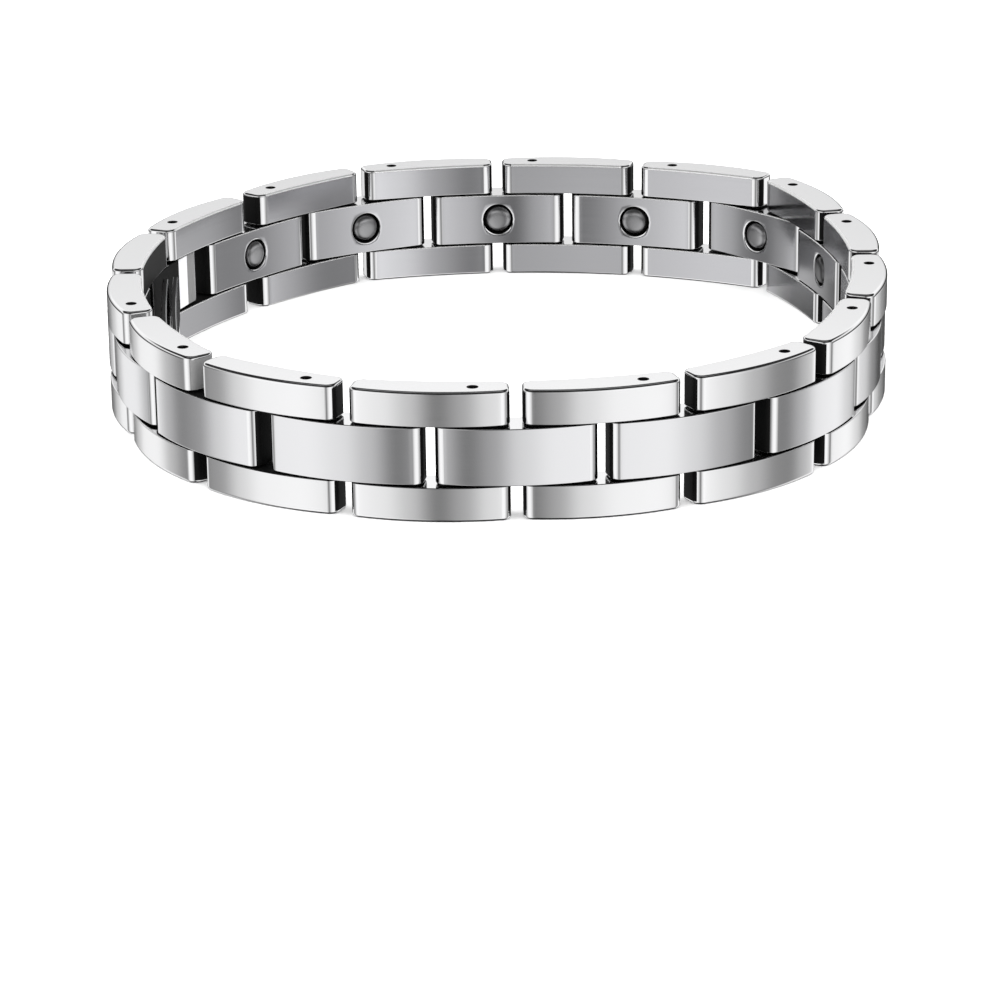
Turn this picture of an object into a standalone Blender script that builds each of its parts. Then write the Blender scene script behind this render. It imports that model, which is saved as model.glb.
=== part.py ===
"""A steel link bracelet with magnets set in its back, closed, standing on its lower rim.

Metres, +Z up. The origin is on the ground under the middle of the loop. The chain is a row of side
links, each an upper and a lower bar on two pins, and of centre links that turn on those pins. Each
link is modelled in a frame of its own: +X is the way it heads round the loop, counter-clockwise from
above, and -Y looks out of the loop.
"""

import math

import bmesh
import bpy
import numpy as np
from mathutils import Matrix, Vector

MM = 0.001

# Heights, from the ground up: lower bar, gap, centre link, gap, upper bar
HEIGHT = 10.9 * MM
SIDE_BAR_HEIGHT = 2.9 * MM
ROW_GAP = 0.25 * MM

# Plan of a bar, measured from the line through its two pins
PIN_STEP = 6.85 * MM
OUTER_REACH = 1.75 * MM
INNER_REACH = 1.4 * MM
OUTER_CROWN = 0.95 * MM
INNER_HOLLOW = 0.35 * MM
END_LEAN = 0.2 * MM
CORNER_RADIUS = 0.85 * MM
OUTER_ARC_STEPS = 8
INNER_ARC_STEPS = 4
CORNER_STEPS = 3

# Lengths of the links, and the steps between a centre link's pins beside the clasp
SIDE_LENGTH = 12.6 * MM
CLASP_SIDE_LENGTH = 11.8 * MM
CLASP_SIDE_LINKS = (15, 16)
CENTRE_OVERHANG = 2.95 * MM
CLASP_CENTRE_STEPS = {13: 7.6 * MM, 14: 6.5 * MM, 15: 6.1 * MM}

# The centre link in front of the folded clasp reaches less far past its pins and into the loop
FOLD_LINK = 14
FOLD_LINK_OVERHANG = 2.4 * MM
FOLD_LINK_INNER_REACH = 1.1 * MM

# Pins, their holes and the magnets
PIN_RADIUS = 0.5 * MM
BORE_RADIUS = 0.75 * MM
PIN_HOLE_RADIUS = 0.48 * MM
PIN_HOLE_DEPTH = 0.9 * MM
LINKS_WITHOUT_HOLE = (15,)
ROUND_SIDES = 12
LINKS_WITH_MAGNET = range(1, 14)
SEAT_RADIUS = 1.45 * MM
SEAT_DEPTH = 1.1 * MM
MAGNET_SIDES = 14
MAGNET_RADIUS = 1.25 * MM
MAGNET_CLEARANCE = 0.15 * MM
# Rings of the magnet's domed face: share of its radius, and height over the face of the link
MAGNET_DOME = ((1.0, -0.2 * MM), (0.8, 0.02 * MM), (0.45, 0.16 * MM))
MAGNET_CREST = 0.22 * MM

# Folded clasp: two blades, one inside the other, joined by a hinge barrel. The insets are how far the
# outer blade lies inside the line of the pins where it starts, halfway and where it ends
CLASP_FIRST_LINK = 15
CLASP_LAST_LINK = 16
BLADE_INSETS = (1.6 * MM, 2.9 * MM, 2.5 * MM)
BLADE_THICKNESS = 0.55 * MM
BLADE_GAP = 0.3 * MM
BLADE_HEIGHT = 4.1 * MM
BLADE_STEPS = 10
BLADE_END_TRIM = 0.6 * MM
BARREL_RADIUS = 1.0 * MM

# The way each side link heads, in degrees counter-clockwise from +X, link 1 first
HEADINGS = (-63, -32, -6, 10, 37, 69, 82, 97, 110, 157, 174, 190, 222, 239, 263, 280)

CENTRE_LOW = SIDE_BAR_HEIGHT + ROW_GAP
CENTRE_HIGH = HEIGHT - CENTRE_LOW


def clear_scene():
    for thing in list(bpy.data.objects):
        bpy.data.objects.remove(thing, do_unlink=True)


def steel(name, colour, roughness, metallic=1.0):
    material = bpy.data.materials.new(name)
    material.use_nodes = True
    shader = material.node_tree.nodes["Principled BSDF"]
    shader.inputs["Base Color"].default_value = (*colour, 1.0)
    shader.inputs["Roughness"].default_value = roughness
    shader.inputs["Metallic"].default_value = metallic
    return material


# Route of the loop


def direction(angle):
    return Vector((math.cos(angle), math.sin(angle)))


def chain_of(headings):
    """(pins, miss): the two pins of each side link, and by how much the end misses the first pin."""
    place = Vector((0.0, 0.0))
    pins = []
    following = [*headings[1:], headings[0] + 2 * math.pi]
    for number, (heading, after) in enumerate(zip(headings, following), start=1):
        first = place
        second = first + PIN_STEP * direction(heading)
        pins.append((first, second))
        place = second + CLASP_CENTRE_STEPS.get(number, PIN_STEP) * direction((heading + after) / 2)
    return pins, place - pins[0][0]


def closed_chain():
    """Pins of the closed loop. Every link is turned a little, most where a turn closes the gap best."""
    headings = [math.radians(angle) for angle in HEADINGS]
    for _ in range(12):
        pins, miss = chain_of(headings)
        pulls = np.array([[-math.sin(angle), math.cos(angle)] for angle in headings]) * 2 * PIN_STEP
        share = np.linalg.solve(pulls.T @ pulls, np.array(miss))
        headings = [angle - float(turn) for angle, turn in zip(headings, pulls @ share)]
    return pins


# Plan of a bar


def sagged_arc(half_length, at_middle, sag, steps):
    """Points of an arc from -X to +X: its middle is at at_middle and its ends lie sag further in."""
    radius = (half_length**2 + sag**2) / (2 * sag)
    half_angle = math.asin(half_length / radius)
    angles = [half_angle * (2 * step / steps - 1) for step in range(steps + 1)]
    return [Vector((radius * math.sin(a), at_middle + radius * (1 - math.cos(a)))) for a in angles]


def fillet(before, corner, after, radius, steps):
    """Points of the arc of this radius that touches both edges of a corner."""
    back = (before - corner).normalized()
    ahead = (after - corner).normalized()
    half_angle = back.angle(ahead) / 2
    centre = corner + (back + ahead).normalized() * radius / math.sin(half_angle)
    reach = radius / math.tan(half_angle)
    start = corner + back * reach - centre
    end = corner + ahead * reach - centre
    sweep = math.pi - 2 * half_angle
    return [
        centre + (start * math.sin(sweep * (1 - part)) + end * math.sin(sweep * part)) / math.sin(sweep)
        for part in (step / steps for step in range(steps + 1))
    ]


def bar_outline(length, inner_reach=INNER_REACH):
    """Plan of a bar, counter-clockwise: crowned outside, slightly hollow inside, with leaning ends."""
    outer = sagged_arc(length / 2 + END_LEAN, -OUTER_REACH, OUTER_CROWN, OUTER_ARC_STEPS)
    inner = sagged_arc(length / 2 - END_LEAN, inner_reach, INNER_HOLLOW, INNER_ARC_STEPS)
    corners = [*outer, *reversed(inner)]
    sharp = (0, OUTER_ARC_STEPS, OUTER_ARC_STEPS + 1, len(corners) - 1)
    outline = []
    for index, point in enumerate(corners):
        if index in sharp:
            before, after = corners[index - 1], corners[(index + 1) % len(corners)]
            outline += fillet(before, point, after, CORNER_RADIUS, CORNER_STEPS)
        else:
            outline.append(point)
    return outline


# Solids


def prism(name, outline, low, high):
    """A mesh object: the outline, counter-clockwise, raised from low to high."""
    count = len(outline)
    points = [(x, y, z) for z in (low, high) for x, y in outline]
    sides = [(i, (i + 1) % count, (i + 1) % count + count, i + count) for i in range(count)]
    mesh = bpy.data.meshes.new(name)
    mesh.from_pydata(points, [], [tuple(reversed(range(count))), tuple(range(count, 2 * count)), *sides])
    return bpy.data.objects.new(name, mesh)


def rod(name, radius, low, high, sides, place=(0.0, 0.0), turn=None):
    """A round bar from low to high on +Z over the place, then turned about the frame's origin."""
    shape = bmesh.new()
    bmesh.ops.create_cone(
        shape,
        cap_ends=True,
        segments=sides,
        radius1=radius,
        radius2=radius,
        depth=high - low,
        matrix=Matrix.Translation((*place, (low + high) / 2)),
    )
    if turn is not None:
        bmesh.ops.transform(shape, matrix=turn, verts=shape.verts)
    mesh = bpy.data.meshes.new(name)
    shape.to_mesh(mesh)
    shape.free()
    return bpy.data.objects.new(name, mesh)


def carved(name, blank, added=(), removed=()):
    """The mesh of a blank with some solids joined on and others cut out. The helpers are deleted."""
    helpers = [blank, *added, *removed]
    for helper in helpers:
        helper.hide_render = True
        helper.display_type = "WIRE"
        bpy.context.scene.collection.objects.link(helper)
    for tools, operation in ((added, "UNION"), (removed, "DIFFERENCE")):
        for tool in tools:
            step = blank.modifiers.new(tool.name, "BOOLEAN")
            step.operation = operation
            step.object = tool
            step.solver = "EXACT"
    bpy.context.view_layer.update()
    graph = bpy.context.evaluated_depsgraph_get()
    mesh = bpy.data.meshes.new_from_object(blank.evaluated_get(graph))
    mesh.name = name
    for helper in helpers:
        bpy.data.objects.remove(helper, do_unlink=True)
    mesh.shade_smooth()
    mesh.set_sharp_from_angle(angle=math.radians(35))
    return mesh


def side_link_mesh(length, has_hole):
    """Upper and lower bar with the two pins that join them, and the dark hole over the leading pin."""
    outline = bar_outline(length)
    lower = prism("lower_bar", outline, 0.0, SIDE_BAR_HEIGHT)
    upper = prism("upper_bar", outline, HEIGHT - SIDE_BAR_HEIGHT, HEIGHT)
    pins = [
        rod("pin", PIN_RADIUS, SIDE_BAR_HEIGHT / 2, HEIGHT - SIDE_BAR_HEIGHT / 2, ROUND_SIDES, (x, 0.0))
        for x in (-PIN_STEP / 2, PIN_STEP / 2)
    ]
    hole_top = HEIGHT + PIN_HOLE_DEPTH
    holes = [
        rod("hole", PIN_HOLE_RADIUS, HEIGHT - PIN_HOLE_DEPTH, hole_top, ROUND_SIDES, (PIN_STEP / 2, 0.0))
    ] if has_hole else []
    return carved("side_link", lower, added=[*pins, upper], removed=holes)


def facing_in(depth):
    """Turns a solid made on +Z to stand on the inner face at mid-height and look into the loop."""
    middle = Vector((0.0, INNER_REACH - depth, HEIGHT / 2))
    return Matrix.Translation(middle) @ Matrix.Rotation(math.radians(-90), 4, "X")


def centre_link_mesh(step, overhang, inner_reach, has_magnet):
    """One bar with two upright bores for the pins and, on most links, a round seat in the inner face."""
    blank = prism("centre_bar", bar_outline(step + 2 * overhang, inner_reach), CENTRE_LOW, CENTRE_HIGH)
    cuts = [
        rod("bore", BORE_RADIUS, CENTRE_LOW - ROW_GAP, CENTRE_HIGH + ROW_GAP, ROUND_SIDES, (x, 0.0))
        for x in (-step / 2, step / 2)
    ]
    if has_magnet:
        seat_place = facing_in(SEAT_DEPTH)
        cuts.append(rod("seat", SEAT_RADIUS, 0.0, 2 * SEAT_DEPTH, MAGNET_SIDES, turn=seat_place))
    return carved("centre_link", blank, removed=cuts)


def magnet_mesh():
    """A short round slug with a domed face, turned up as rings and stood in its seat."""
    base = -SEAT_DEPTH + MAGNET_CLEARANCE
    rings = [(1.0, base), *MAGNET_DOME]
    turns = [2 * math.pi * side / MAGNET_SIDES for side in range(MAGNET_SIDES)]
    points = [
        (share * MAGNET_RADIUS * math.cos(turn), share * MAGNET_RADIUS * math.sin(turn), height)
        for share, height in rings
        for turn in turns
    ]
    crest = len(points)
    points.append((0.0, 0.0, MAGNET_CREST))
    faces = [tuple(reversed(range(MAGNET_SIDES)))]
    for side in range(MAGNET_SIDES):
        beside = (side + 1) % MAGNET_SIDES
        for ring in range(len(rings) - 1):
            low, high = ring * MAGNET_SIDES, (ring + 1) * MAGNET_SIDES
            faces.append((low + side, low + beside, high + beside, high + side))
        last = (len(rings) - 1) * MAGNET_SIDES
        faces.append((last + side, last + beside, crest))
    mesh = bpy.data.meshes.new("magnet")
    mesh.from_pydata(points, [], faces)
    mesh.transform(facing_in(0.0))
    mesh.shade_smooth()
    mesh.set_sharp_from_angle(angle=math.radians(50))
    return mesh


def circle_through(a, b, c):
    """Centre of the circle through three points."""
    rows = np.array([2 * (b - a), 2 * (c - a)])
    sides = np.array([b.dot(b) - a.dot(a), c.dot(c) - a.dot(a)])
    return Vector(np.linalg.solve(rows, sides))


def inside_of(link, share, inset):
    """A point at this share of the way between a link's two pins, moved into the loop by the inset."""
    first, second = link
    ahead = (second - first).normalized()
    return first.lerp(second, share) + inset * Vector((-ahead.y, ahead.x))


def clasp_mesh(pins):
    """The folded clasp: a hairpin of two slightly curved blades behind the clasp links, and its barrel.

    Both blades are arcs about the centre of the circle through three points inside the line of the
    pins. The slot between them stops short of the barrel, which joins them.
    """
    first_link, last_link = pins[CLASP_FIRST_LINK - 1], pins[CLASP_LAST_LINK - 1]
    start = inside_of(first_link, 0.0, BLADE_INSETS[0])
    middle = inside_of((first_link[1], last_link[0]), 0.5, BLADE_INSETS[1])
    end = inside_of(last_link, 1.0, BLADE_INSETS[2])
    centre = circle_through(start, middle, end)
    radius = (start - centre).length
    first = math.atan2(*reversed(start - centre)) % (2 * math.pi)
    last = math.atan2(*reversed(end - centre)) % (2 * math.pi)
    trim = BLADE_END_TRIM / radius

    def blade_edge(depth, begin, finish):
        angles = [begin + (finish - begin) * step / BLADE_STEPS for step in range(BLADE_STEPS + 1)]
        return [centre + (radius - depth) * direction(angle) for angle in angles]

    stack = 2 * BLADE_THICKNESS + BLADE_GAP
    outline = [
        *blade_edge(0.0, first + trim, last),
        *blade_edge(stack, last, first),
        *blade_edge(stack - BLADE_THICKNESS, first, last - trim),
        *blade_edge(BLADE_THICKNESS, last - trim, first + trim),
    ]
    low = (HEIGHT - BLADE_HEIGHT) / 2
    high = (HEIGHT + BLADE_HEIGHT) / 2
    hairpin = prism("hairpin", outline, low, high)
    hinge = centre + (radius - stack / 2) * direction(last)
    barrel = rod("barrel", BARREL_RADIUS, low - ROW_GAP, high + ROW_GAP, MAGNET_SIDES, tuple(hinge))
    return carved("fold_clasp", hairpin, added=[barrel])


# Assembly


def put(name, mesh, material, base, link=None):
    """A named object on the base, moved into the frame of a link where its two pins are given."""
    thing = bpy.data.objects.new(name, mesh)
    if not mesh.materials:
        mesh.materials.append(material)
    bpy.context.scene.collection.objects.link(thing)
    thing.parent = base
    if link is not None:
        first, second = link
        thing.location = (*first.lerp(second, 0.5), 0.0)
        thing.rotation_euler.z = math.atan2(*reversed(second - first))
    return thing


def centre_over_origin(base, things):
    """Moves the base so that the middle of all its pieces, seen from above, is over the origin."""
    bpy.context.view_layer.update()
    corners = np.array([
        thing.matrix_world @ point.co for thing in things for point in thing.data.vertices
    ])
    middle = (corners.min(axis=0) + corners.max(axis=0)) / 2
    base.location -= Vector((middle[0], middle[1], 0.0))
    bpy.context.view_layer.update()


def build_bracelet():
    bracelet = bpy.data.objects.new("bracelet", None)
    bpy.context.scene.collection.objects.link(bracelet)
    side_steel = steel("side_link_steel", (0.78, 0.78, 0.79), 0.22)
    centre_steel = steel("centre_link_steel", (0.70, 0.70, 0.71), 0.28)
    clasp_steel = steel("clasp_steel", (0.72, 0.72, 0.73), 0.2)
    magnet_black = steel("magnet_black", (0.03, 0.03, 0.035), 0.12, metallic=0.6)

    pins = closed_chain()
    side_meshes = {}
    centre_meshes = {}
    magnet = magnet_mesh()
    things = []
    for number, (first, second) in enumerate(pins, start=1):
        length = CLASP_SIDE_LENGTH if number in CLASP_SIDE_LINKS else SIDE_LENGTH
        side_kind = (length, number not in LINKS_WITHOUT_HOLE)
        if side_kind not in side_meshes:
            side_meshes[side_kind] = side_link_mesh(*side_kind)
        side_name = f"side_link_{number:02d}"
        things.append(put(side_name, side_meshes[side_kind], side_steel, bracelet, (first, second)))

        has_magnet = number in LINKS_WITH_MAGNET
        reaches = (CENTRE_OVERHANG, INNER_REACH)
        if number == FOLD_LINK:
            reaches = (FOLD_LINK_OVERHANG, FOLD_LINK_INNER_REACH)
        centre_kind = (CLASP_CENTRE_STEPS.get(number, PIN_STEP), *reaches, has_magnet)
        if centre_kind not in centre_meshes:
            centre_meshes[centre_kind] = centre_link_mesh(*centre_kind)
        bridge = (second, pins[number % len(pins)][0])
        centre_name = f"centre_link_{number:02d}"
        things.append(put(centre_name, centre_meshes[centre_kind], centre_steel, bracelet, bridge))
        if has_magnet:
            things.append(put(f"magnet_{number:02d}", magnet, magnet_black, bracelet, bridge))
    things.append(put("fold_clasp", clasp_mesh(pins), clasp_steel, bracelet))
    centre_over_origin(bracelet, things)


clear_scene()
build_bracelet()
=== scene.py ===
# %% [markdown]
# # A bracelet of steel links with magnets in its back
#
# The bracelet stands closed on its lower rim. Two rows of steel bars, one above the other, hold a middle row
# of links on short upright pins, and most middle links carry a round black magnet that faces the wrist. The
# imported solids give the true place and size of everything. Each one is replaced here by a finer skin with
# rounded edges, because polished steel is read by what its edges and curves reflect.

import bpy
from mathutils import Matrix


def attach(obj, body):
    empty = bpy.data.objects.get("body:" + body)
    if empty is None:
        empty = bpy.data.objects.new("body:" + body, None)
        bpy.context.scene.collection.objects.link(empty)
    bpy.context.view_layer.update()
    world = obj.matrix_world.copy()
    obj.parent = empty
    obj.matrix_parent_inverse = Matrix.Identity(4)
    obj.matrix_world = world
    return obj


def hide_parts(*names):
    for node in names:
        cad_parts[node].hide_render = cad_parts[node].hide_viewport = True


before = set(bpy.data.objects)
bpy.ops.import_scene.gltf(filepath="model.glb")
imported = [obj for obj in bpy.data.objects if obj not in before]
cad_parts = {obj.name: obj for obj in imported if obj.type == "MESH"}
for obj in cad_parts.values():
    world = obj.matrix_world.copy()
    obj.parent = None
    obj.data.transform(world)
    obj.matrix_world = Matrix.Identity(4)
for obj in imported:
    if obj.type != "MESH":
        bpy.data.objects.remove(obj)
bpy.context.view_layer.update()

# %% Import what the lesson works with
import math

import bpy
import numpy as np
from mathutils import Matrix, Vector

print("Blender", bpy.app.version_string)

# %% [markdown]
# ## The route of the loop
#
# A link bracelet that is set down never makes a perfect oval: each link turns on its pins by itself. A curve
# bent by hand could carry the links, but then the distance from pin to pin would drift. So the route is a
# walk: along each side link by the distance of its two pins, then across to the next one in the mean of both
# directions. A small correction of all the directions, found by least squares, closes the loop.

# %% Choose the steps and the directions
LINK_COUNT = 16
PIN_STEP = 6.85
bridge_steps = np.full(LINK_COUNT, PIN_STEP)
bridge_steps[12:15] = 7.6, 6.5, 6.1
headings = np.radians([-63, -32, -6, 10, 37, 69, 82, 97, 110, 157, 174, 190, 222, 239, 263, 280])
print("length round the pins in mm", round(LINK_COUNT * PIN_STEP + bridge_steps.sum(), 1))


# %% Walk round the loop
def along(angle):
    """Unit vector at an angle from +X: (cosine, sine)."""
    return np.stack([np.cos(angle), np.sin(angle)], axis=-1)


def walk(headings):
    """Trailing pins, leading pins and the end of the walk, in mm: the sum of all steps up to each of them."""
    bars = PIN_STEP * along(headings)
    after = np.append(headings[1:], headings[0] + 2 * np.pi)
    bridges = bridge_steps[:, None] * along((headings + after) / 2)
    stops = np.cumsum(np.stack([bars, bridges], axis=1).reshape(-1, 2), axis=0)
    return np.vstack([[0.0, 0.0], stops[1:-1:2]]), stops[0::2], stops[-1]


trailing, leading, miss = walk(headings)
print("the first walk ends", np.hypot(*miss).round(2), "mm from its start")

# %% Close the loop
CLOSING_ROUNDS = 11

for _ in range(CLOSING_ROUNDS):
    pulls = 2 * PIN_STEP * np.stack([-np.sin(headings), np.cos(headings)], axis=1)
    headings = headings - pulls @ np.linalg.solve(pulls.T @ pulls, miss)
    trailing, leading, miss = walk(headings)
print("the loop misses its start by", np.abs(miss).max().round(9), "mm")

# %% [markdown]
# ## The plan of a bar
#
# Seen from above, a bar is crowned outside and slightly hollow inside, so that it follows the wrist, and its
# ends lean towards the next bar. A plan could be drawn as a curve and bevelled. It is worked out from
# circles instead: each corner is a small circle that touches the long arc and the end. The direction out of
# the steel is then known at every point, and the edges can be rounded by moving points back along it.

# %% Name the shape of a bar
SIDE_LENGTH = 12.6
OUTER_REACH, OUTER_CROWN = 1.75, 0.95
INNER_REACH, INNER_HOLLOW = 1.4, 0.35
END_LEAN = 0.2
CORNER_RADIUS = 0.85
# The kinds of face round a bar. A corner is one kind beside a long face and another beside an end
OUTER_ARC, CORNER, END_CORNER, END, INNER_ARC = range(5)
# The number of faces on each stretch of half a plan
OUTER_STEPS, END_STEPS, INNER_STEPS = 18, 3, 14
CORNER_STEPS, OUTER_END_STEPS, INNER_END_STEPS = 5, 4, 5
print("a bar is", OUTER_REACH + INNER_REACH, "mm thick in its middle")


# %% Fit a small circle into a corner
def out_of(angle):
    """Unit vector out of the bar; the angle runs from -Y, straight out of the loop, counter-clockwise."""
    return np.stack([np.sin(angle), -np.cos(angle)], axis=-1)


def arc_radius(half_chord, rise):
    """Radius of the arc that rises this much over its chord: (half chord^2 + rise^2) / (2 rise)."""
    return (half_chord**2 + rise**2) / (2 * rise)


def corner_centre(hub, reach, edge_point, outward, radius):
    """Centre of the corner circle: reach away from the hub of the long arc, and radius inside the end line.

    It solves |p - hub| = reach on the line p = base + s * end direction, and takes the root nearer to
    edge_point.
    """
    base = edge_point - radius * outward
    end_way = np.array([-outward[1], outward[0]])
    half = (base - hub) @ end_way
    root = math.sqrt(half**2 - (base - hub) @ (base - hub) + reach**2)
    return base + end_way * min((-half - root, -half + root), key=abs)


print("radius of the crown in mm", round(arc_radius(SIDE_LENGTH / 2 + END_LEAN, OUTER_CROWN), 2))


# %% Draw half a plan
def half_plan(length, inner_reach):
    """(points, outward angles, kinds) of the +X half of a bar's plan, from its middle outside to that inside.

    Point = centre of its arc + radius x direction out, and the end is straight between its two corners.
    """
    outer_half, inner_half = length / 2 + END_LEAN, length / 2 - END_LEAN
    outer_radius, inner_radius = arc_radius(outer_half, OUTER_CROWN), arc_radius(inner_half, INNER_HOLLOW)
    outer_hub = np.array([0.0, outer_radius - OUTER_REACH])
    inner_hub = np.array([0.0, inner_radius + inner_reach])
    outer_end = np.array([outer_half, OUTER_CROWN - OUTER_REACH])
    inner_end = np.array([inner_half, inner_reach + INNER_HOLLOW])
    rise = inner_end - outer_end
    outward = np.array([rise[1], -rise[0]]) / np.hypot(*rise)
    end_angle = math.atan2(outward[0], -outward[1])
    first = corner_centre(outer_hub, outer_radius - CORNER_RADIUS, outer_end, outward, CORNER_RADIUS)
    second = corner_centre(inner_hub, inner_radius + CORNER_RADIUS, inner_end, outward, CORNER_RADIUS)
    outer_turn = math.atan2(first[0], outer_hub[1] - first[1])
    inner_turn = math.atan2(second[0], inner_hub[1] - second[1])

    outer_angles = np.linspace(0, outer_turn, OUTER_STEPS + 1)
    first_angles = np.linspace(outer_turn, end_angle, CORNER_STEPS + OUTER_END_STEPS + 1)[1:]
    second_angles = np.linspace(end_angle, math.pi + inner_turn, CORNER_STEPS + INNER_END_STEPS + 1)
    inner_angles = np.linspace(inner_turn, 0, INNER_STEPS + 1)[1:]
    end_parts = np.linspace(0, 1, END_STEPS + 1)[1:-1, None]
    first_points = first + CORNER_RADIUS * out_of(first_angles)
    second_points = second + CORNER_RADIUS * out_of(second_angles)
    end_points = first_points[-1] + end_parts * (second_points[0] - first_points[-1])
    outer_points = outer_hub + outer_radius * out_of(outer_angles)
    inner_points = inner_hub + inner_radius * out_of(inner_angles)
    points = np.vstack([outer_points, first_points, end_points, second_points, inner_points])
    end_angles = np.full(len(end_points), end_angle)
    angles = np.concatenate([outer_angles, first_angles, end_angles, second_angles, math.pi + inner_angles])
    kinds = np.repeat(
        [OUTER_ARC, CORNER, END_CORNER, END, END_CORNER, CORNER, INNER_ARC],
        [OUTER_STEPS, CORNER_STEPS, OUTER_END_STEPS, END_STEPS, INNER_END_STEPS, CORNER_STEPS, INNER_STEPS],
    )
    return points, angles, kinds


print("points on half a side bar", len(half_plan(SIDE_LENGTH, INNER_REACH)[0]))


# %% Mirror it to a whole plan
def plan(length, inner_reach=INNER_REACH):
    """Whole plan, counter-clockwise from the middle outside: the half, then it mirrored and read back."""
    points, angles, kinds = half_plan(length, inner_reach)
    mirrored = points[::-1][1:-1] * (-1, 1)
    back = (2 * math.pi - angles)[::-1][1:-1]
    return np.vstack([points, mirrored]), np.append(angles, back), np.append(kinds, kinds[::-1])


side_plan = plan(SIDE_LENGTH)[0]
print("points round a side bar", len(side_plan), "width in mm", np.ptp(side_plan[:, 1]).round(3))

# %% [markdown]
# ## Skins
#
# Every piece is a skin: a loop of points that is carried along, ring after ring, such as up a wall, over a
# rounded edge and across a face. A bevel modifier would round the edges too, but it also rounds the holes
# and splits the long curved faces. Rings put the points where the shine needs them: close together on the
# edge, and once more just inside each flat face, so that the flat stays flat when it is shaded smoothly.

# %% Join rings with faces
# Painted shade on RECESS faces, and on HIDDEN_FLAT ones of some links; a painted highlight on INNER_EDGE
EDGE, FLAT, RECESS, INNER_EDGE, HIDDEN_FLAT = range(INNER_ARC + 1, INNER_ARC + 6)


def skin(rings, kinds):
    """(points, four-sided faces, kinds) of a tube through rings, an array of ring x point x 3.

    Face (i, j) joins points j and j + 1 of rings i and i + 1. Kinds broadcasts to one number a face.
    """
    count, around = rings.shape[:2]
    corner = np.arange(count * around).reshape(count, around)
    beside = np.roll(corner, -1, axis=1)
    faces = np.stack([corner[:-1], beside[:-1], beside[1:], corner[1:]], axis=-1)
    kinds = np.broadcast_to(kinds, (count - 1, around))
    return rings.reshape(-1, 3), faces.reshape(-1, 4), kinds.reshape(-1)


def lid(ring, kind, faces_back=False):
    """One flat face on a ring. It looks the way the ring turns, or the other way."""
    order = np.arange(len(ring))
    return ring, (order[::-1] if faces_back else order)[None, :], np.array([kind])


print("kinds of face", HIDDEN_FLAT + 1)

# %% Carry a plan up a wall with rounded edges
EDGE_STEPS = 5
# The rings just inside the flat face and just inside the wall, measured from the rounded edge
FLAT_MARGIN, WALL_MARGIN = 0.06, 0.04


def wall_rings(loop, outward_angles, low, high, low_edge, high_edge, under, over, wall_heights=()):
    """(rings, row kinds): up a bar's side with both edges rounded. Ring = loop - inset x outward, at height.

    An edge is a quarter circle: inset = edge x (1 - sine), height = edge x (1 - cosine) from the face.
    Low_edge and high_edge are the widths of the edges at each point.
    """
    turn = np.linspace(0, math.pi / 2, EDGE_STEPS + 1)[:, None]
    inward, upward = 1 - np.sin(turn), 1 - np.cos(turn)
    level = np.zeros(len(loop))
    insets = [low_edge + FLAT_MARGIN, low_edge * inward, np.zeros((2 + len(wall_heights), len(loop)))]
    insets += [high_edge * inward[::-1], high_edge + FLAT_MARGIN]
    heights = [low + level, low + low_edge * upward, low + low_edge + WALL_MARGIN]
    heights += [height + level for height in wall_heights]
    heights += [high - high_edge - WALL_MARGIN, high - high_edge * upward[::-1], high + level]
    flat = loop - np.vstack(insets)[..., None] * out_of(outward_angles)
    rings = np.concatenate([flat, np.vstack(heights)[..., None]], axis=2)
    row_counts = [1, EDGE_STEPS, len(wall_heights) + 3, EDGE_STEPS, 1]
    return rings, np.repeat([under, EDGE, OUTER_ARC, EDGE, over], row_counts)


def bar_kinds(rows, columns):
    """Kind of each face: the column's kind on the wall, else the row's. The upper edge inside has its own."""
    kinds = np.where(rows[:, None] == OUTER_ARC, columns[None, :], rows[:, None])
    is_upper_edge = (rows == EDGE) & (np.arange(len(rows)) > len(rows) // 2)
    return np.where(is_upper_edge[:, None] & (columns == INNER_ARC), INNER_EDGE, kinds)


print("faces over a rounded edge", EDGE_STEPS)


# %% Draw a ring in to a round hole
def collar(loop, centre, radius, rings=3):
    """Rings from a loop straight in to a circle round centre: p + t (rim - p), with t from 0 to 1."""
    arms = loop - centre
    rim = centre + arms * (radius / np.hypot(*arms.T))[:, None]
    return np.stack([loop + part * (rim - loop) for part in np.linspace(0, 1, rings + 1)])


def raised(rings, height):
    """Flat rings set at a height."""
    return np.concatenate([rings, np.full((*rings.shape[:2], 1), height)], axis=2)


print("rings from a plan to a hole", len(collar(side_plan, np.zeros(2), 1.0)))

# %% [markdown]
# ## Side links
#
# On the real bracelet a side link is an upper and a lower bar pressed onto two pins, and the end of the
# leading pin shows as a dark hole in the top face. A bar could be a box with a Bevel modifier and a hole cut
# by a Boolean. One skin makes it here: from the face underneath, up the outside and over the top, in to the
# rim of the hole and down to its floor. That way the edge can be wider outside, where fingers touch it, than
# inside.

# %% Round the edges of a bar
HEIGHT, BAR_HEIGHT, ROW_GAP = 10.9, 2.9, 0.16
OUTSIDE_EDGE, INSIDE_EDGE, ROW_EDGE = 0.28, 0.2, 0.08
# Where the edge starts to widen and over how long, as shares of the way from inside to outside
WIDENS_AT, WIDENS_OVER = 0.42, 0.16


def edge_widths(count):
    """Width of the rounded edge at each of the points round a plan, widening evenly along the ends."""
    half = count / 2
    place = np.abs(np.arange(count) - half) / half
    share = np.clip((place - WIDENS_AT) / WIDENS_OVER, 0, 1)
    return INSIDE_EDGE + (OUTSIDE_EDGE - INSIDE_EDGE) * share


side_edges = edge_widths(len(side_plan))
print("edges in mm", side_edges.min(), "to", side_edges.max())

# %% Turn a pin and bore a hole
PIN_RADIUS, PIN_SINK = 0.5, 0.5
HOLE_RADIUS, HOLE_DEPTH, HOLE_LIP = 0.44, 0.9, 0.04


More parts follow.
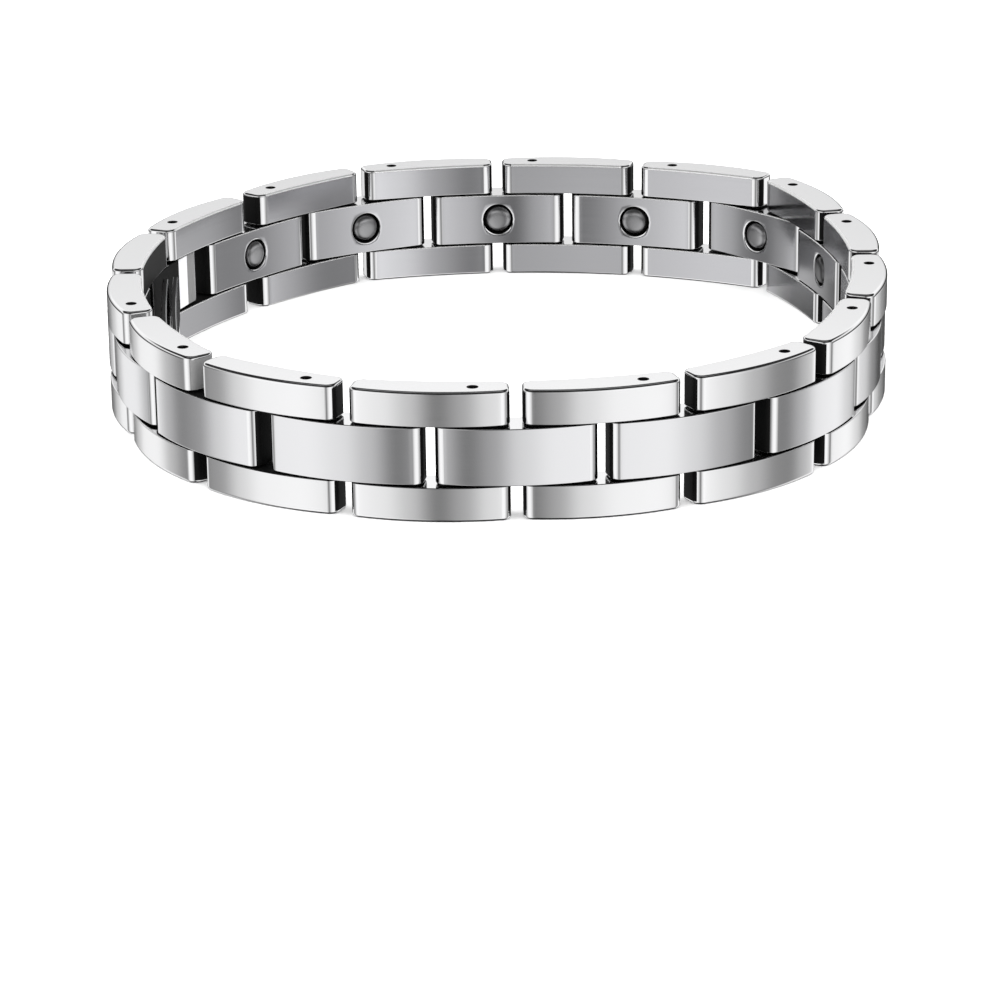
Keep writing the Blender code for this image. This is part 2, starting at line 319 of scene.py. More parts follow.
def round_rod(centre, radius, low, high, around=24):
    """Skins of an upright rod: a circle carried from low to high, with a lid at both ends."""
    circle = centre + radius * along(np.linspace(0, 2 * np.pi, around, endpoint=False))
    rings = np.stack([np.column_stack([circle, np.full(around, height)]) for height in (low, high)])
    return [lid(rings[0], RECESS, True), skin(rings, RECESS), lid(rings[1], RECESS)]


def holed_top(ring):
    """Skins of the top face with the pin's hole: in from the ring, over the lip, down, and the floor."""
    centre = np.array([PIN_STEP / 2, 0.0])
    flat = collar(ring[:, :2], centre, HOLE_RADIUS + HOLE_LIP)
    rim = collar(flat[-1], centre, HOLE_RADIUS, 1)[-1:]
    down = [raised(flat[-1:], HEIGHT), raised(rim, HEIGHT - HOLE_LIP), raised(rim, HEIGHT - HOLE_DEPTH)]
    hole = skin(np.concatenate(down), RECESS)
    return [skin(raised(flat, HEIGHT), FLAT), hole, lid(down[-1][0], RECESS)]


print("faces in a pin", sum(len(faces) for _, faces, _ in round_rod((0.0, 0.0), PIN_RADIUS, 0.0, 1.0)))


# %% Make the skins of a side link
def side_link_skins(length, has_hole, has_shaded_foot=False):
    """All skins of one side link: lower bar, upper bar with or without its hole, and the two pins.

    With a shaded foot, the ends of the lower bar are painted dark, as painted shade.
    """
    loop, angles, columns = plan(length)
    rim, crisp = edge_widths(len(loop)), np.full(len(loop), ROW_EDGE)
    is_end = (columns == END) | (columns == END_CORNER)
    lower, rows = wall_rings(loop, angles, 0.0, BAR_HEIGHT, rim, crisp, FLAT, HIDDEN_FLAT)
    lower_kinds = bar_kinds(rows, np.where(is_end & has_shaded_foot, RECESS, columns))
    skins = [lid(lower[0], FLAT, True), skin(lower, lower_kinds), lid(lower[-1], HIDDEN_FLAT)]
    upper, rows = wall_rings(loop, angles, HEIGHT - BAR_HEIGHT, HEIGHT, crisp, rim, RECESS, FLAT)
    skins += [lid(upper[0], RECESS, True), skin(upper, bar_kinds(rows, columns))]
    skins += holed_top(upper[-1]) if has_hole else [lid(upper[-1], FLAT)]
    for place in (-PIN_STEP / 2, PIN_STEP / 2):
        skins += round_rod((place, 0.0), PIN_RADIUS, BAR_HEIGHT - PIN_SINK, HEIGHT - BAR_HEIGHT + PIN_SINK)
    return skins


side_skins = side_link_skins(SIDE_LENGTH, True)
print("faces in a side link", sum(len(faces) for _, faces, _ in side_skins))

# %% [markdown]
# ## Centre links
#
# A centre link is one bar with two bores for the pins and, in its hollow face, a round seat. The seat could
# be cut with a Boolean, which leaves long thin faces that catch the light. Here the rectangle of faces round
# it is left out of the bar's skin, and a collar of rings runs from its border to the rim, so that the hollow
# face stays smooth. The link in front of the clasp is shorter and thinner.

# %% Bore a centre link
CENTRE_LOW = BAR_HEIGHT + ROW_GAP
CENTRE_HIGH = HEIGHT - CENTRE_LOW
BORE_RADIUS = 0.75
SEAM_STEPS = 6


def split(ring):
    """The two halves of a ring, right and left, each closed by the same seam across the middle of the bar."""
    half = len(ring) // 2
    seam = ring[half] + np.linspace(0, 1, SEAM_STEPS + 1)[1:-1, None] * (ring[0] - ring[half])
    right = np.vstack([ring[: half + 1], seam])
    left = np.vstack([ring[half:], ring[:1], seam[::-1]])
    return right, left


def bored_faces(top, bottom, reach):
    """Skins of one half of the upper and lower face and of the bore between them.

    The half loop is drawn in to the bore, carried down it and out again below.
    """
    centre = np.array([reach, 0.0])
    above = raised(collar(top[:, :2], centre, BORE_RADIUS), CENTRE_HIGH)
    below = raised(collar(bottom[:, :2], centre, BORE_RADIUS), CENTRE_LOW)
    bore = skin(np.stack([above[-1], below[-1]]), RECESS)
    return [skin(above, HIDDEN_FLAT), bore, skin(below[::-1], RECESS)]


print("a centre link is", round(CENTRE_HIGH - CENTRE_LOW, 2), "mm high")

# %% Sink the seat of a magnet
SEAT_RADIUS, SEAT_DEPTH = 1.45, 1.1
# The rings of the seat's rounded edge: how far beyond its radius, and how deep below the face
SEAT_EDGE = ((0.12, 0.0), (0.03, 0.05), (0.0, 0.13))
# The left-out faces, counted from the middle of the inner face along the bar
SEAT_COLUMNS = 5
COLLAR_RINGS = 4


def seat_skins(rings, wall_rows, half, inner_radius):
    """Skins of the seat: from the border of the left-out faces in to the rim, over it, down, and the floor.

    Between border and rim the points lie on the hollow face: y = hub - root of (radius squared - x squared).
    """
    left, right = half - SEAT_COLUMNS, half + SEAT_COLUMNS
    low, high = wall_rows[0], wall_rows[-1] + 1
    border = np.vstack([
        rings[low, left:right],
        rings[low:high, right],
        rings[high, right:left:-1],
        rings[high:low:-1, left],
    ])
    centre = np.array([0.0, HEIGHT / 2])

    def on_face(flat, deeper=0.0):
        """Points of (x, z) laid on the hollow face, or this much deeper."""
        depth = inner_radius + INNER_REACH - np.sqrt(inner_radius**2 - flat[..., 0] ** 2) - deeper
        return np.stack([flat[..., 0], depth, flat[..., 1]], axis=-1)

    spread = collar(border[:, [0, 2]], centre, SEAT_RADIUS + SEAT_EDGE[0][0], COLLAR_RINGS)
    face = on_face(spread)
    face[0] = border
    down = [face[-1:]]
    for beyond, deeper in SEAT_EDGE[1:]:
        down.append(on_face(collar(spread[-1], centre, SEAT_RADIUS + beyond, 1)[-1:], deeper))
    floor = down[-1].copy()
    floor[..., 1] = INNER_REACH - SEAT_DEPTH
    drum = skin(np.concatenate([down[-1], floor]), RECESS)
    return [skin(face, INNER_ARC), skin(np.concatenate(down), EDGE), drum, lid(floor[0], RECESS)]


print("a seat is", 2 * SEAT_RADIUS, "mm wide")

# %% Make the skins of a centre link
OVERHANG = 2.95
# The rings up the wall that carry the border of the seat, and how far they stay inside both flat faces
WALL_RING_COUNT, WALL_RING_INSET = 7, 0.35
# The link in front of the clasp: how far it reaches past its bores, and how far into the loop
FOLDED_OVERHANG, FOLDED_REACH = 2.4, 1.1
# The columns of its inner face that stay lit, counted from the middle; the others are painted shade
LIT_FROM, LIT_TO = 5, 9


def folded_columns(columns):
    """The kinds of a plan whose inner face is painted shade: dark up to its lit columns, grey beyond them."""
    past_middle = np.arange(len(columns)) - len(columns) // 2
    is_inner = columns == INNER_ARC
    columns = np.where(is_inner & (past_middle < LIT_FROM), RECESS, columns)
    return np.where(is_inner & (past_middle > LIT_TO), END_CORNER, columns)


def centre_link_skins(step, has_magnet, is_folded_over=False):
    """All skins of one centre link of this distance between its bores, with or without a seat."""
    overhang, inner_reach = (FOLDED_OVERHANG, FOLDED_REACH) if is_folded_over else (OVERHANG, INNER_REACH)
    length = step + 2 * overhang
    loop, angles, columns = plan(length, inner_reach)
    columns = folded_columns(columns) if is_folded_over else columns
    crisp = np.full(len(loop), ROW_EDGE)
    heights = np.linspace(CENTRE_LOW + WALL_RING_INSET, CENTRE_HIGH - WALL_RING_INSET, WALL_RING_COUNT)
    rings, rows = wall_rings(
        loop, angles, CENTRE_LOW, CENTRE_HIGH, crisp, crisp, RECESS, HIDDEN_FLAT, heights
    )
    # The rounded edges over the dark columns are painted dark too, as painted shade
    is_dark_edge = (columns == RECESS)[None, :] & (rows == EDGE)[:, None]
    points, faces, kinds = skin(rings, np.where(is_dark_edge, RECESS, bar_kinds(rows, columns)))
    skins = []
    if has_magnet:
        half = len(loop) // 2
        wall_rows = np.flatnonzero(rows == OUTER_ARC)[1:-1]
        keep = np.ones((len(rows), len(loop)), bool)
        keep[wall_rows[:, None], np.arange(half - SEAT_COLUMNS, half + SEAT_COLUMNS)] = False
        faces, kinds = faces[keep.reshape(-1)], kinds[keep.reshape(-1)]
        skins += seat_skins(rings, wall_rows, half, arc_radius(length / 2 - END_LEAN, INNER_HOLLOW))
    skins.append((points, faces, kinds))
    for above, below, reach in zip(split(rings[-1]), split(rings[0]), (step / 2, -step / 2)):
        skins += bored_faces(above, below, reach)
    return skins


print("faces in a centre link", sum(len(faces) for _, faces, _ in centre_link_skins(PIN_STEP, True)))

# %% [markdown]
# ## Magnets
#
# A magnet is a slug of black metal, pressed into its seat and slightly domed, so that it touches the skin. A
# sphere cut off and flattened would do. This one is turned like a bead: a profile of radius and height,
# carried round the line out of the seat, with its rings close together where the dome rounds over.

# %% Turn a magnet
MAGNET_RADIUS, MAGNET_FOOT_GAP = 1.25, 0.15
# The radius of each ring as a share of the magnet's: the foot, then over the dome to its middle
RING_SHARES = (1.0, 1.0, 0.98, 0.95, 0.91, 0.87, 0.82, 0.75, 0.67, 0.58, 0.47, 0.34, 0.18, 0.04)


def magnet_skins(around=48):
    """A dome on a short drum. Point = share x radius x (sine, cosine) at a height out of the bar.

    Height of the dome = 0.22 - 0.1 share^2 - 0.35 share^6.
    """
    share = np.array(RING_SHARES)
    heights = 0.22 - 0.1 * share**2 - 0.35 * share**6
    heights[0] = MAGNET_FOOT_GAP - SEAT_DEPTH
    turn = np.linspace(0, 2 * np.pi, around, endpoint=False)
    reach = (share * MAGNET_RADIUS)[:, None]
    out = np.broadcast_to((INNER_REACH + heights)[:, None], (len(share), around))
    rings = np.stack([reach * np.sin(turn), out, HEIGHT / 2 + reach * np.cos(turn)], axis=-1)
    return [lid(rings[0], 0, True), skin(rings, 0), lid(rings[-1], 0)]


magnet = magnet_skins()
print("faces in a magnet", sum(len(faces) for _, faces, _ in magnet))

# %% [markdown]
# ## Steel
#
# All the steel is one alloy. The outer faces are satin, brushed along the bracelet, and a little darker on
# the centre links: fine scratches lie level, so a noise that changes quickly with height and slowly along
# the loop makes them, in bump and in roughness. The corners, the rounded edges and the upper and lower faces
# are polished. The inner faces are brushed more coarsely, and their colour is painted greyer, as painted
# shade for the inside of the loop. The holes, most ends and the faces that look into the gaps between the
# rows are painted dark, as painted shade where little light reaches. A picture of scratched steel could be
# laid on, but it would blur up close and needs unwrapping. Noise has neither fault.
#
# The inner faces at the back aren't all ground alike: one leans a little, another is slightly hollow, and so
# they send back other parts of the room. Bending the mesh would show that, but it would bend the outline as
# well. So only the shading normal is turned about the upright, by an angle that may change along the link.


# %% Brush and grind a material
def brushed(material, grain):
    """The noise that draws fine lines. Grain is how often they change along x, y and z in a metre."""
    nodes, links = material.node_tree.nodes, material.node_tree.links
    place = nodes.new("ShaderNodeTexCoord")
    stretch = nodes.new("ShaderNodeMapping")
    stretch.inputs["Scale"].default_value = grain
    noise = nodes.new("ShaderNodeTexNoise")
    noise.inputs["Scale"].default_value = 1.0
    noise.inputs["Detail"].default_value = 3.0
    links.new(place.outputs["Object"], stretch.inputs["Vector"])
    links.new(stretch.outputs["Vector"], noise.inputs["Vector"])
    return noise.outputs["Fac"]


def ground(material, normal, turn, hollow):
    """The normal turned about the upright: angle = turn + hollow x mm along the link, in degrees."""
    nodes, links = material.node_tree.nodes, material.node_tree.links
    along_link = nodes.new("ShaderNodeAttribute")
    along_link.attribute_name = "along"
    angle = nodes.new("ShaderNodeMath")
    angle.operation = "MULTIPLY_ADD"
    angle.inputs[1].default_value = math.radians(hollow)
    angle.inputs[2].default_value = math.radians(turn)
    turned = nodes.new("ShaderNodeVectorRotate")
    turned.rotation_type = "Z_AXIS"
    links.new(along_link.outputs["Fac"], angle.inputs[0])
    links.new(angle.outputs[0], turned.inputs["Angle"])
    links.new(normal, turned.inputs["Vector"])
    return turned.outputs["Vector"]


print("materials so far", len(bpy.data.materials))

# %% Mix steel
LINE_DEPTH = 0.000004


def steel(name, colour, roughness, scratch, grain=(90, 90, 9000), turn=0.0, hollow=0.0):
    """A material of metal. Scratch is how far the fine lines change the roughness and lift the surface.

    Colour is the share of white light that the steel sends back, turn and hollow how its face was ground.
    """
    material = bpy.data.materials.new(name)
    material.use_nodes = True
    nodes, links = material.node_tree.nodes, material.node_tree.links
    shader = nodes["Principled BSDF"]
    shader.inputs["Base Color"].default_value = (*colour, 1)
    shader.inputs["Metallic"].default_value = 1.0
    lines = brushed(material, grain)
    spread = nodes.new("ShaderNodeMapRange")
    spread.inputs["To Min"].default_value = roughness - scratch
    spread.inputs["To Max"].default_value = roughness + scratch
    bump = nodes.new("ShaderNodeBump")
    bump.inputs["Strength"].default_value = min(1.0, 4 * scratch)
    bump.inputs["Distance"].default_value = LINE_DEPTH
    links.new(lines, spread.inputs["Value"])
    links.new(spread.outputs["Result"], shader.inputs["Roughness"])
    links.new(lines, bump.inputs["Height"])
    links.new(ground(material, bump.outputs["Normal"], turn, hollow), shader.inputs["Normal"])
    return material


EVEN_GRAIN = (2500, 2500, 2500)
INNER_GRAIN = (60, 60, 7000)
satin = steel("satin_steel", (0.62, 0.62, 0.625), 0.15, 0.03)
centre_satin = steel("centre_satin_steel", (0.57, 0.57, 0.58), 0.15, 0.03, turn=3.5)
polished = steel("polished_edge_steel", (0.64, 0.64, 0.645), 0.07, 0.02, EVEN_GRAIN)
smooth = steel("smooth_face_steel", (0.64, 0.64, 0.645), 0.1, 0.02, EVEN_GRAIN)
# A painted highlight: the upper edges inside get a much whiter steel, which shows as a soft white band
inner_edge_highlight = steel("inner_edge_painted_highlight", (0.95, 0.95, 0.95), 0.5, 0.02, EVEN_GRAIN)
# Painted shade: a darker copy of the corner steel, for the link in front of the clasp
corner_shade = steel("corner_painted_shade", (0.33, 0.33, 0.335), 0.2, 0.03, EVEN_GRAIN)
print("a finish of steel has", len(satin.node_tree.nodes), "nodes")


# %% Mix the painted shade of the recesses
def shade_paint(name, brightness, gloss=0.05):
    """A material that paints shade on steel that sees little light: dark and almost without shine."""
    material = bpy.data.materials.new(name)
    material.use_nodes = True
    shader = material.node_tree.nodes["Principled BSDF"]
    shader.inputs["Base Color"].default_value = (brightness, brightness, brightness, 1)
    shader.inputs["Roughness"].default_value = 0.5
    shader.inputs["Specular IOR Level"].default_value = gloss
    return material


# Painted shade: near black in holes, gaps and most ends, grey on a few ends, dark over the clasp
dark = shade_paint("dark_recess", 0.004)
# Painted shade: a grey half-shade on the ends of link 1 and beside the lit part of link 14
grey_shade_end = shade_paint("grey_shade_end", 0.18)
shaded = shade_paint("shaded_inner_face", 0.02, 0.03)
print("finishes", [finish.name for finish in (dark, grey_shade_end, shaded)])

# %% [markdown]
# ## The finish of each link
#
# The inner faces at the back differ in their light from link to link, and so do the ends: some shine and
# some stay dark. The magnets are of a dark, rather rough metal, and a few look a little askew. One finish
# for all would leave such differences to what the links mirror, and the room here is simpler than a real
# one. So small tables give them link by link, as painted light and shade: a brightness for each inner face,
# dark paint on the ends, corners and flats that lie in shade, and a darker magnet on link 8. A link that a
# table doesn't name has the usual finish.

# %% Grind the inner faces
# How the inner faces of the back links were ground: turn and hollow in degrees, and brightness,
# which is painted light and shade for what each face mirrors
GROUND_AND_PAINTED_LIGHT = {
    "side": {
        8: (0, 0, 0.85), 9: (-12, 0, 1.1), 10: (0, 0, 0.85), 11: (-15, 0, 0.6), 12: (-7, 0.6, 1.2),
        13: (7.5, 0, 1.1), 14: (0, 0, 0.55),
    },
    "centre": {
        8: (0, 0, 0.5), 9: (-3, 1.5, 0.75), 10: (4, 0, 1.1), 11: (-2.5, 1.6, 0.85), 12: (6, 0, 1.05),
        13: (-7, 0, 1.2), 14: (0, 0, 1.7),
    },
}
# The side and centre links over the clasp, whose inner faces lie in the dark
CLASP_LINKS = (15, 16)
# How far the shading of a link's magnet is turned, in degrees
ASKEW = {10: 20, 11: -15, 13: -20}
# The magnet painted darker as painted shade, and the share of its colour that is left
SHADED_MAGNET, MAGNET_SHADE_SHARE = 8, 0.3


def inner_finish(number, row):
    """The finish of the inner face of a side or centre link."""
    if number in CLASP_LINKS:
        return shaded
    turn, hollow, painted_light = GROUND_AND_PAINTED_LIGHT[row].get(number, (0, 0, 1.0))
    # The colour is painted greyer as shade inside the loop, and scaled by each link's painted light
    colour = np.array([0.46, 0.46, 0.475]) * painted_light
    return steel(f"brushed_{row}_{number:02d}", colour, 0.16, 0.05, INNER_GRAIN, turn, hollow)


def magnet_finish(number):
    """The black of the magnet of this link, painted darker on the shaded magnet."""
    colour = np.array([0.27, 0.27, 0.275]) * (MAGNET_SHADE_SHARE if number == SHADED_MAGNET else 1)
    return steel(f"magnet_black_{number:02d}", colour, 0.32, 0.02, EVEN_GRAIN, ASKEW.get(number, 0))


print("inner faces with a finish of their own", sum(len(row) for row in GROUND_AND_PAINTED_LIGHT.values()))

# %% Choose the finishes of each link
MAGNET_COUNT = 13
# The side link whose ends are painted a grey half-shade, and the centre link in front of the clasp
GREY_SHADE_LINK, FOLDED_LINK = 1, 14
# Side links whose ends, and then whose end corners, stay steel; the others are painted dark as shade
SMOOTH_ENDS = (9, 10, 12, 14, 15, 16)
POLISHED_END_CORNERS = (14, 15, 16)
# Side and centre links whose hidden flats are painted dark, as painted shade
DARK_SIDE_FLATS, DARK_CENTRE_FLATS = (2, 14), (1, 15)


def side_finishes(number):
    """The finishes of a side link, in the order of the kinds of face."""
    end = smooth if number in SMOOTH_ENDS else dark
    beside_end = polished if number in POLISHED_END_CORNERS else dark
    if number == GREY_SHADE_LINK:
        end = beside_end = grey_shade_end
    hidden = dark if number in DARK_SIDE_FLATS else smooth
    inner = inner_finish(number, "side")
    return [satin, polished, beside_end, end, inner, polished, smooth, dark, inner_edge_highlight, hidden]


def centre_finishes(number):
    """The finishes of a centre link, in the order of the kinds of face."""
    corner, beside_end = (corner_shade, grey_shade_end) if number == FOLDED_LINK else (polished, dark)
    hidden = dark if number in DARK_CENTRE_FLATS else smooth
    inner = inner_finish(number, "centre")
    # The ends of centre links are painted dark as shade, and so are most corners beside them
    return [centre_satin, corner, beside_end, dark, inner, polished, smooth, dark, inner_edge_highlight, hidden]


print("magnets", MAGNET_COUNT)

# %% [markdown]
# ## From skins to a piece
#
# A real link is solid metal, so the skins of a piece have to join without a gap. Merge by distance could
# close them, but it may also join points that only lie close. Skins share whole rings here, number for
# number, so points that are exactly equal become one. Each piece also keeps how far along its link a point
# lies, which the grinding of the inner faces reads.

# %% Sew skins into a piece
SHARP_ANGLE = math.radians(32)


def ways(first, second):
    """Unit vectors from the first pin to the second, and to the left of that, into the loop."""
    ahead = (second - first) / np.hypot(*(second - first))
    return ahead, np.array([-ahead[1], ahead[0]])


def set_between(flat, first, second):
    """Points (x, y) of a link moved to its pins: middle of the pins + x ahead + y to the left."""
    ahead, left = ways(first, second)
    return (first + second) / 2 + flat[:, :1] * ahead + flat[:, 1:2] * left


def piece(name, skins, finishes, pins=None):
    """A mesh object from skins in mm. Points that two skins share exactly become one, which closes the seams.

    Pins are the trailing and the leading one that the piece is set between, and finishes follow the kinds.
    """
    starts = np.cumsum([0] + [len(points) for points, _, _ in skins])
    points = np.vstack([points for points, _, _ in skins])
    points, index = np.unique(points + 0.0, axis=0, return_inverse=True)
    index = index.reshape(-1)
    faces = [face for start, (_, some, _) in zip(starts, skins) for face in index[some + start].tolist()]
    kinds = np.concatenate([kinds for _, _, kinds in skins])
    along_link = points[:, 0].astype(np.float32)
    if pins is not None:
        points = np.column_stack([set_between(points[:, :2], *pins), points[:, 2]])
    mesh = bpy.data.meshes.new(name)
    mesh.from_pydata(points * 0.001, [], faces)
    for finish in finishes:
        mesh.materials.append(finish)
    mesh.polygons.foreach_set("material_index", kinds.astype(np.int32))
    mesh.attributes.new("along", "FLOAT", "POINT").data.foreach_set("value", along_link)
    mesh.shade_smooth()
    mesh.set_sharp_from_angle(angle=SHARP_ANGLE)
    made = bpy.data.objects.new(name, mesh)
    bpy.context.scene.collection.objects.link(made)
    return made


print("points in a side link before sewing", sum(len(points) for points, _, _ in side_skins))

# %% [markdown]
# ## Setting the chain
#
# Side links are all alike, apart from shorter ones beside the clasp, and so are most centre links. An Array
# modifier along a curve would bend them, and steel doesn't bend. So each shape is worked out for itself and
# set between its two pins, sixteen times round. The loop is first moved so that the middle of its outline
# lies over the origin, which is where the solids have it.

# %% Centre the loop
CLASP_SIDE_LENGTH = 11.8
side_lengths = np.full(LINK_COUNT, SIDE_LENGTH)
side_lengths[np.array(CLASP_LINKS) - 1] = CLASP_SIDE_LENGTH
outlines = np.vstack([
    set_between(plan(length)[0], first, second)
    for first, second, length in zip(trailing, leading, side_lengths)
])
middle = (outlines.min(axis=0) + outlines.max(axis=0)) / 2
trailing, leading = trailing - middle, leading - middle
print("outline in mm", np.ptp(outlines, axis=0).round(2))

# %% Set the links round the loop
for number in range(1, LINK_COUNT + 1):
    tag = f"{number:02d}"
    pins = (trailing[number - 1], leading[number - 1])
    side = side_link_skins(side_lengths[number - 1], number != CLASP_LINKS[0], number == GREY_SHADE_LINK)
    link = piece("side_bars_" + tag, side, side_finishes(number), pins)
    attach(link, "root")
    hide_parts("side_link_" + tag)
    pins = (leading[number - 1], trailing[number % LINK_COUNT])
    centre = centre_link_skins(bridge_steps[number - 1], number <= MAGNET_COUNT, number == FOLDED_LINK)
    link = piece("centre_bar_" + tag, centre, centre_finishes(number), pins)
    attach(link, "root")
    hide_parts("centre_link_" + tag)
    if number <= MAGNET_COUNT:
        disc = piece("magnet_disc_" + tag, magnet, [magnet_finish(number)], pins)
        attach(disc, "root")
        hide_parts("magnet_" + tag)
print("pieces round the loop", 2 * LINK_COUNT + MAGNET_COUNT)

# %% [markdown]
# ## The fold-over clasp
#
# Behind the last links two slightly curved blades lie one inside the other. They share a barrel at the front
# end, and unfold like a hairpin when the clasp is opened. A blade could be a thin box bent by a modifier.
# Here it is a rounded section carried along an arc, about the centre of the circle through three points
# inside the line of the pins, so that it follows the links outside it. The clasp lies in the shade of the
# links, so its faces are dark and only its rounded edges shine.

# %% Find the arc of the clasp
BLADE_THICKNESS, BLADE_GAP, BLADE_HEIGHT, BLADE_EDGE = 0.55, 0.3, 4.1, 0.12
# How far inside the line of the pins the clasp lies at its start, middle and end
CLASP_INSETS = (1.6, 2.9, 2.5)


def circle_through(a, b, c):
    """Centre of the circle through three points, equally far from all three: two linear equations."""
    rows = 2 * np.array([b - a, c - a])
    return np.linalg.solve(rows, np.array([b @ b - a @ a, c @ c - a @ a]))


def inside_of(first, second, share, inset):
    """A point at this share of the way from the first pin to the second, moved into the loop by the inset."""
    return first + share * (second - first) + inset * ways(first, second)[1]


clasp_start = inside_of(trailing[14], leading[14], 0.0, CLASP_INSETS[0])
clasp_middle = inside_of(leading[14], trailing[15], 0.5, CLASP_INSETS[1])
clasp_end = inside_of(trailing[15], leading[15], 1.0, CLASP_INSETS[2])
clasp_hub = circle_through(clasp_start, clasp_middle, clasp_end)
clasp_radius = np.hypot(*(clasp_start - clasp_hub))
start_angle, end_angle = (
    math.atan2(*(point - clasp_hub)[::-1]) % (2 * math.pi) for point in (clasp_start, clasp_end)
)
print("clasp arc in degrees", round(math.degrees(end_angle - start_angle), 1))

# %% Carry the blades along the links
# The points over a rounded edge, and the rings along a blade
ROUND_POINTS, BLADE_RINGS = 5, 41


def rounded_section(thickness, height, edge):
    """Points (in, up) round a rectangle with rounded corners; in is 0 outside, up is 0 at half its height."""
    turn = np.linspace(0, math.pi / 2, ROUND_POINTS)
    quarter = edge * np.stack([1 - np.cos(turn), np.sin(turn) - 1], axis=1)
    top = quarter + (0, height / 2)
    other = quarter[::-1] * (-1, 1) + (thickness, height / 2)
    upper = np.vstack([top, other])
    return np.vstack([upper, upper[::-1] * (1, -1)])


def blade_skins(depth, begin, end):
    """A blade: the section carried along an arc. Point = hub + (radius - depth - in) x direction, at up.

    Its rounded edges are steel (1), and its faces are painted dark, as painted shade (0).
    """
    section = rounded_section(BLADE_THICKNESS, BLADE_HEIGHT, BLADE_EDGE)
    reach = clasp_radius - depth - section[:, 0]
    rings = np.stack([
        np.column_stack([clasp_hub + reach[:, None] * along(angle), HEIGHT / 2 + section[:, 1]])
        for angle in np.linspace(begin, end, BLADE_RINGS)
    ])
    is_flat = np.isclose(np.roll(section, -1, axis=0), section).any(axis=1)
    return [lid(rings[0], 0, True), skin(rings, np.where(is_flat, 0, 1)[None, :]), lid(rings[-1], 0)]


# The outer blade starts this much later than the inner one
BLADE_TRIM = 0.6
inner_depth = BLADE_THICKNESS + BLADE_GAP
blades = blade_skins(0.0, start_angle + BLADE_TRIM / clasp_radius, end_angle)
blades += blade_skins(inner_depth, start_angle, end_angle)
print("faces in the blades", sum(len(faces) for _, faces, _ in blades))

# %% Turn the barrel of the hinge
BARREL_RADIUS, BARREL_HEIGHT, BARREL_EDGE = 1.0, 4.6, 0.2


def barrel_skins(centre, radius, height, edge, around=40):
    """A turned barrel at half the bracelet's height: a profile with rounded rims, carried round."""
    turn = np.linspace(0, math.pi / 2, ROUND_POINTS)
    rim = np.append(radius - 2 * edge, radius - edge * (1 - np.sin(turn)))
    rise = np.append(height / 2, height / 2 - edge * (1 - np.cos(turn)))
    reaches, ups = np.append(rim, rim[::-1]), HEIGHT / 2 + np.append(-rise, rise[::-1])
    circle = along(np.linspace(0, 2 * np.pi, around, endpoint=False))
    rings = np.stack([
        np.column_stack([centre + reach * circle, np.full(around, up)]) for reach, up in zip(reaches, ups)
    ])
    return [lid(rings[0], 0, True), skin(rings, 0), lid(rings[-1], 0)]


hinge = clasp_hub + (clasp_radius - inner_depth / 2 - BLADE_THICKNESS / 2) * along(end_angle)
barrel = barrel_skins(hinge, BARREL_RADIUS, BARREL_HEIGHT, BARREL_EDGE)
print("the hinge is at", hinge.round(1))

# %% Set the clasp
# Painted shade on the clasp: faces and barrel near black, edges a steel half as bright as the links'
clasp_steel = shade_paint("clasp_blade", 0.01, 0.06)
clasp_edge = steel("clasp_edge_steel", (0.3, 0.3, 0.305), 0.12, 0.02, EVEN_GRAIN)
for name, skins in (("clasp_blades", blades), ("clasp_barrel", barrel)):
    made = piece(name, skins, [clasp_steel, clasp_edge])
    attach(made, "root")
    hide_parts("fold_clasp")
    print(name, "has", len(made.data.polygons), "faces")

# %% [markdown]
# ## The floor
#
# The bracelet stands on a plain white sheet, as for a catalogue. A mirroring floor would show the lower row
# twice and darken it. So the sheet is matt, and steel doesn't mirror it, as if the bracelet stood on a thin
# stand: all three rows then show the same bands of light.

# %% Lay the floor
FLOOR_REACH = 2
corners = [(-FLOOR_REACH, -FLOOR_REACH, 0), (FLOOR_REACH, -FLOOR_REACH, 0)]
corners += [(FLOOR_REACH, FLOOR_REACH, 0), (-FLOOR_REACH, FLOOR_REACH, 0)]
floor_mesh = bpy.data.meshes.new("floor")
floor_mesh.from_pydata(corners, [], [(0, 1, 2, 3)])
floor = bpy.data.objects.new("floor", floor_mesh)
bpy.context.scene.collection.objects.link(floor)
floor.visible_glossy = False
paper = bpy.data.materials.new("white_paper")
paper.use_nodes = True
paper_shader = paper.node_tree.nodes["Principled BSDF"]
paper_shader.inputs["Base Color"].default_value = (0.9, 0.9, 0.9, 1)
paper_shader.inputs["Roughness"].default_value = 0.9
paper_shader.inputs["Specular IOR Level"].default_value = 0.0
floor_mesh.materials.append(paper)
print("the floor is", 2 * FLOOR_REACH, "m wide")

# %% [markdown]
# ## The tent of light
#
# Jewellery is lit by what it reflects. A white tent would give steel no shape, so dark cards stand in it at
# chosen sides. Lamps and cards could be modelled one by one. Here the tent is the world itself: brightness
# as a function of direction, for what the steel reflects, and plain white for everything else. Each bar then
# gets its bands of light and dark from the way that it faces.

# %% Choose the brightness of each direction
# The brightness of the cards, by direction in degrees counter-clockwise from +X
CARDS = (
    (-180, 0.5), (-168, 1.1), (-157, 1.45), (-138, 1.5), (-122, 1.3), (-111, 0.9), (-99, 0.28), (-88, 0.6),
    (-77, 1.15), (-62, 1.45), (-44, 1.5), (-31, 1.2), (-18, 0.75), (-5, 0.38), (3, 0.34), (12, 0.75),
    (24, 1.4), (38, 1.45), (50, 1.0), (62, 0.35), (74, 0.1), (104, 0.1), (113, 0.3), (122, 0.8), (131, 1.3),
    (146, 1.4), (158, 0.75), (168, 0.38), (180, 0.5),
)
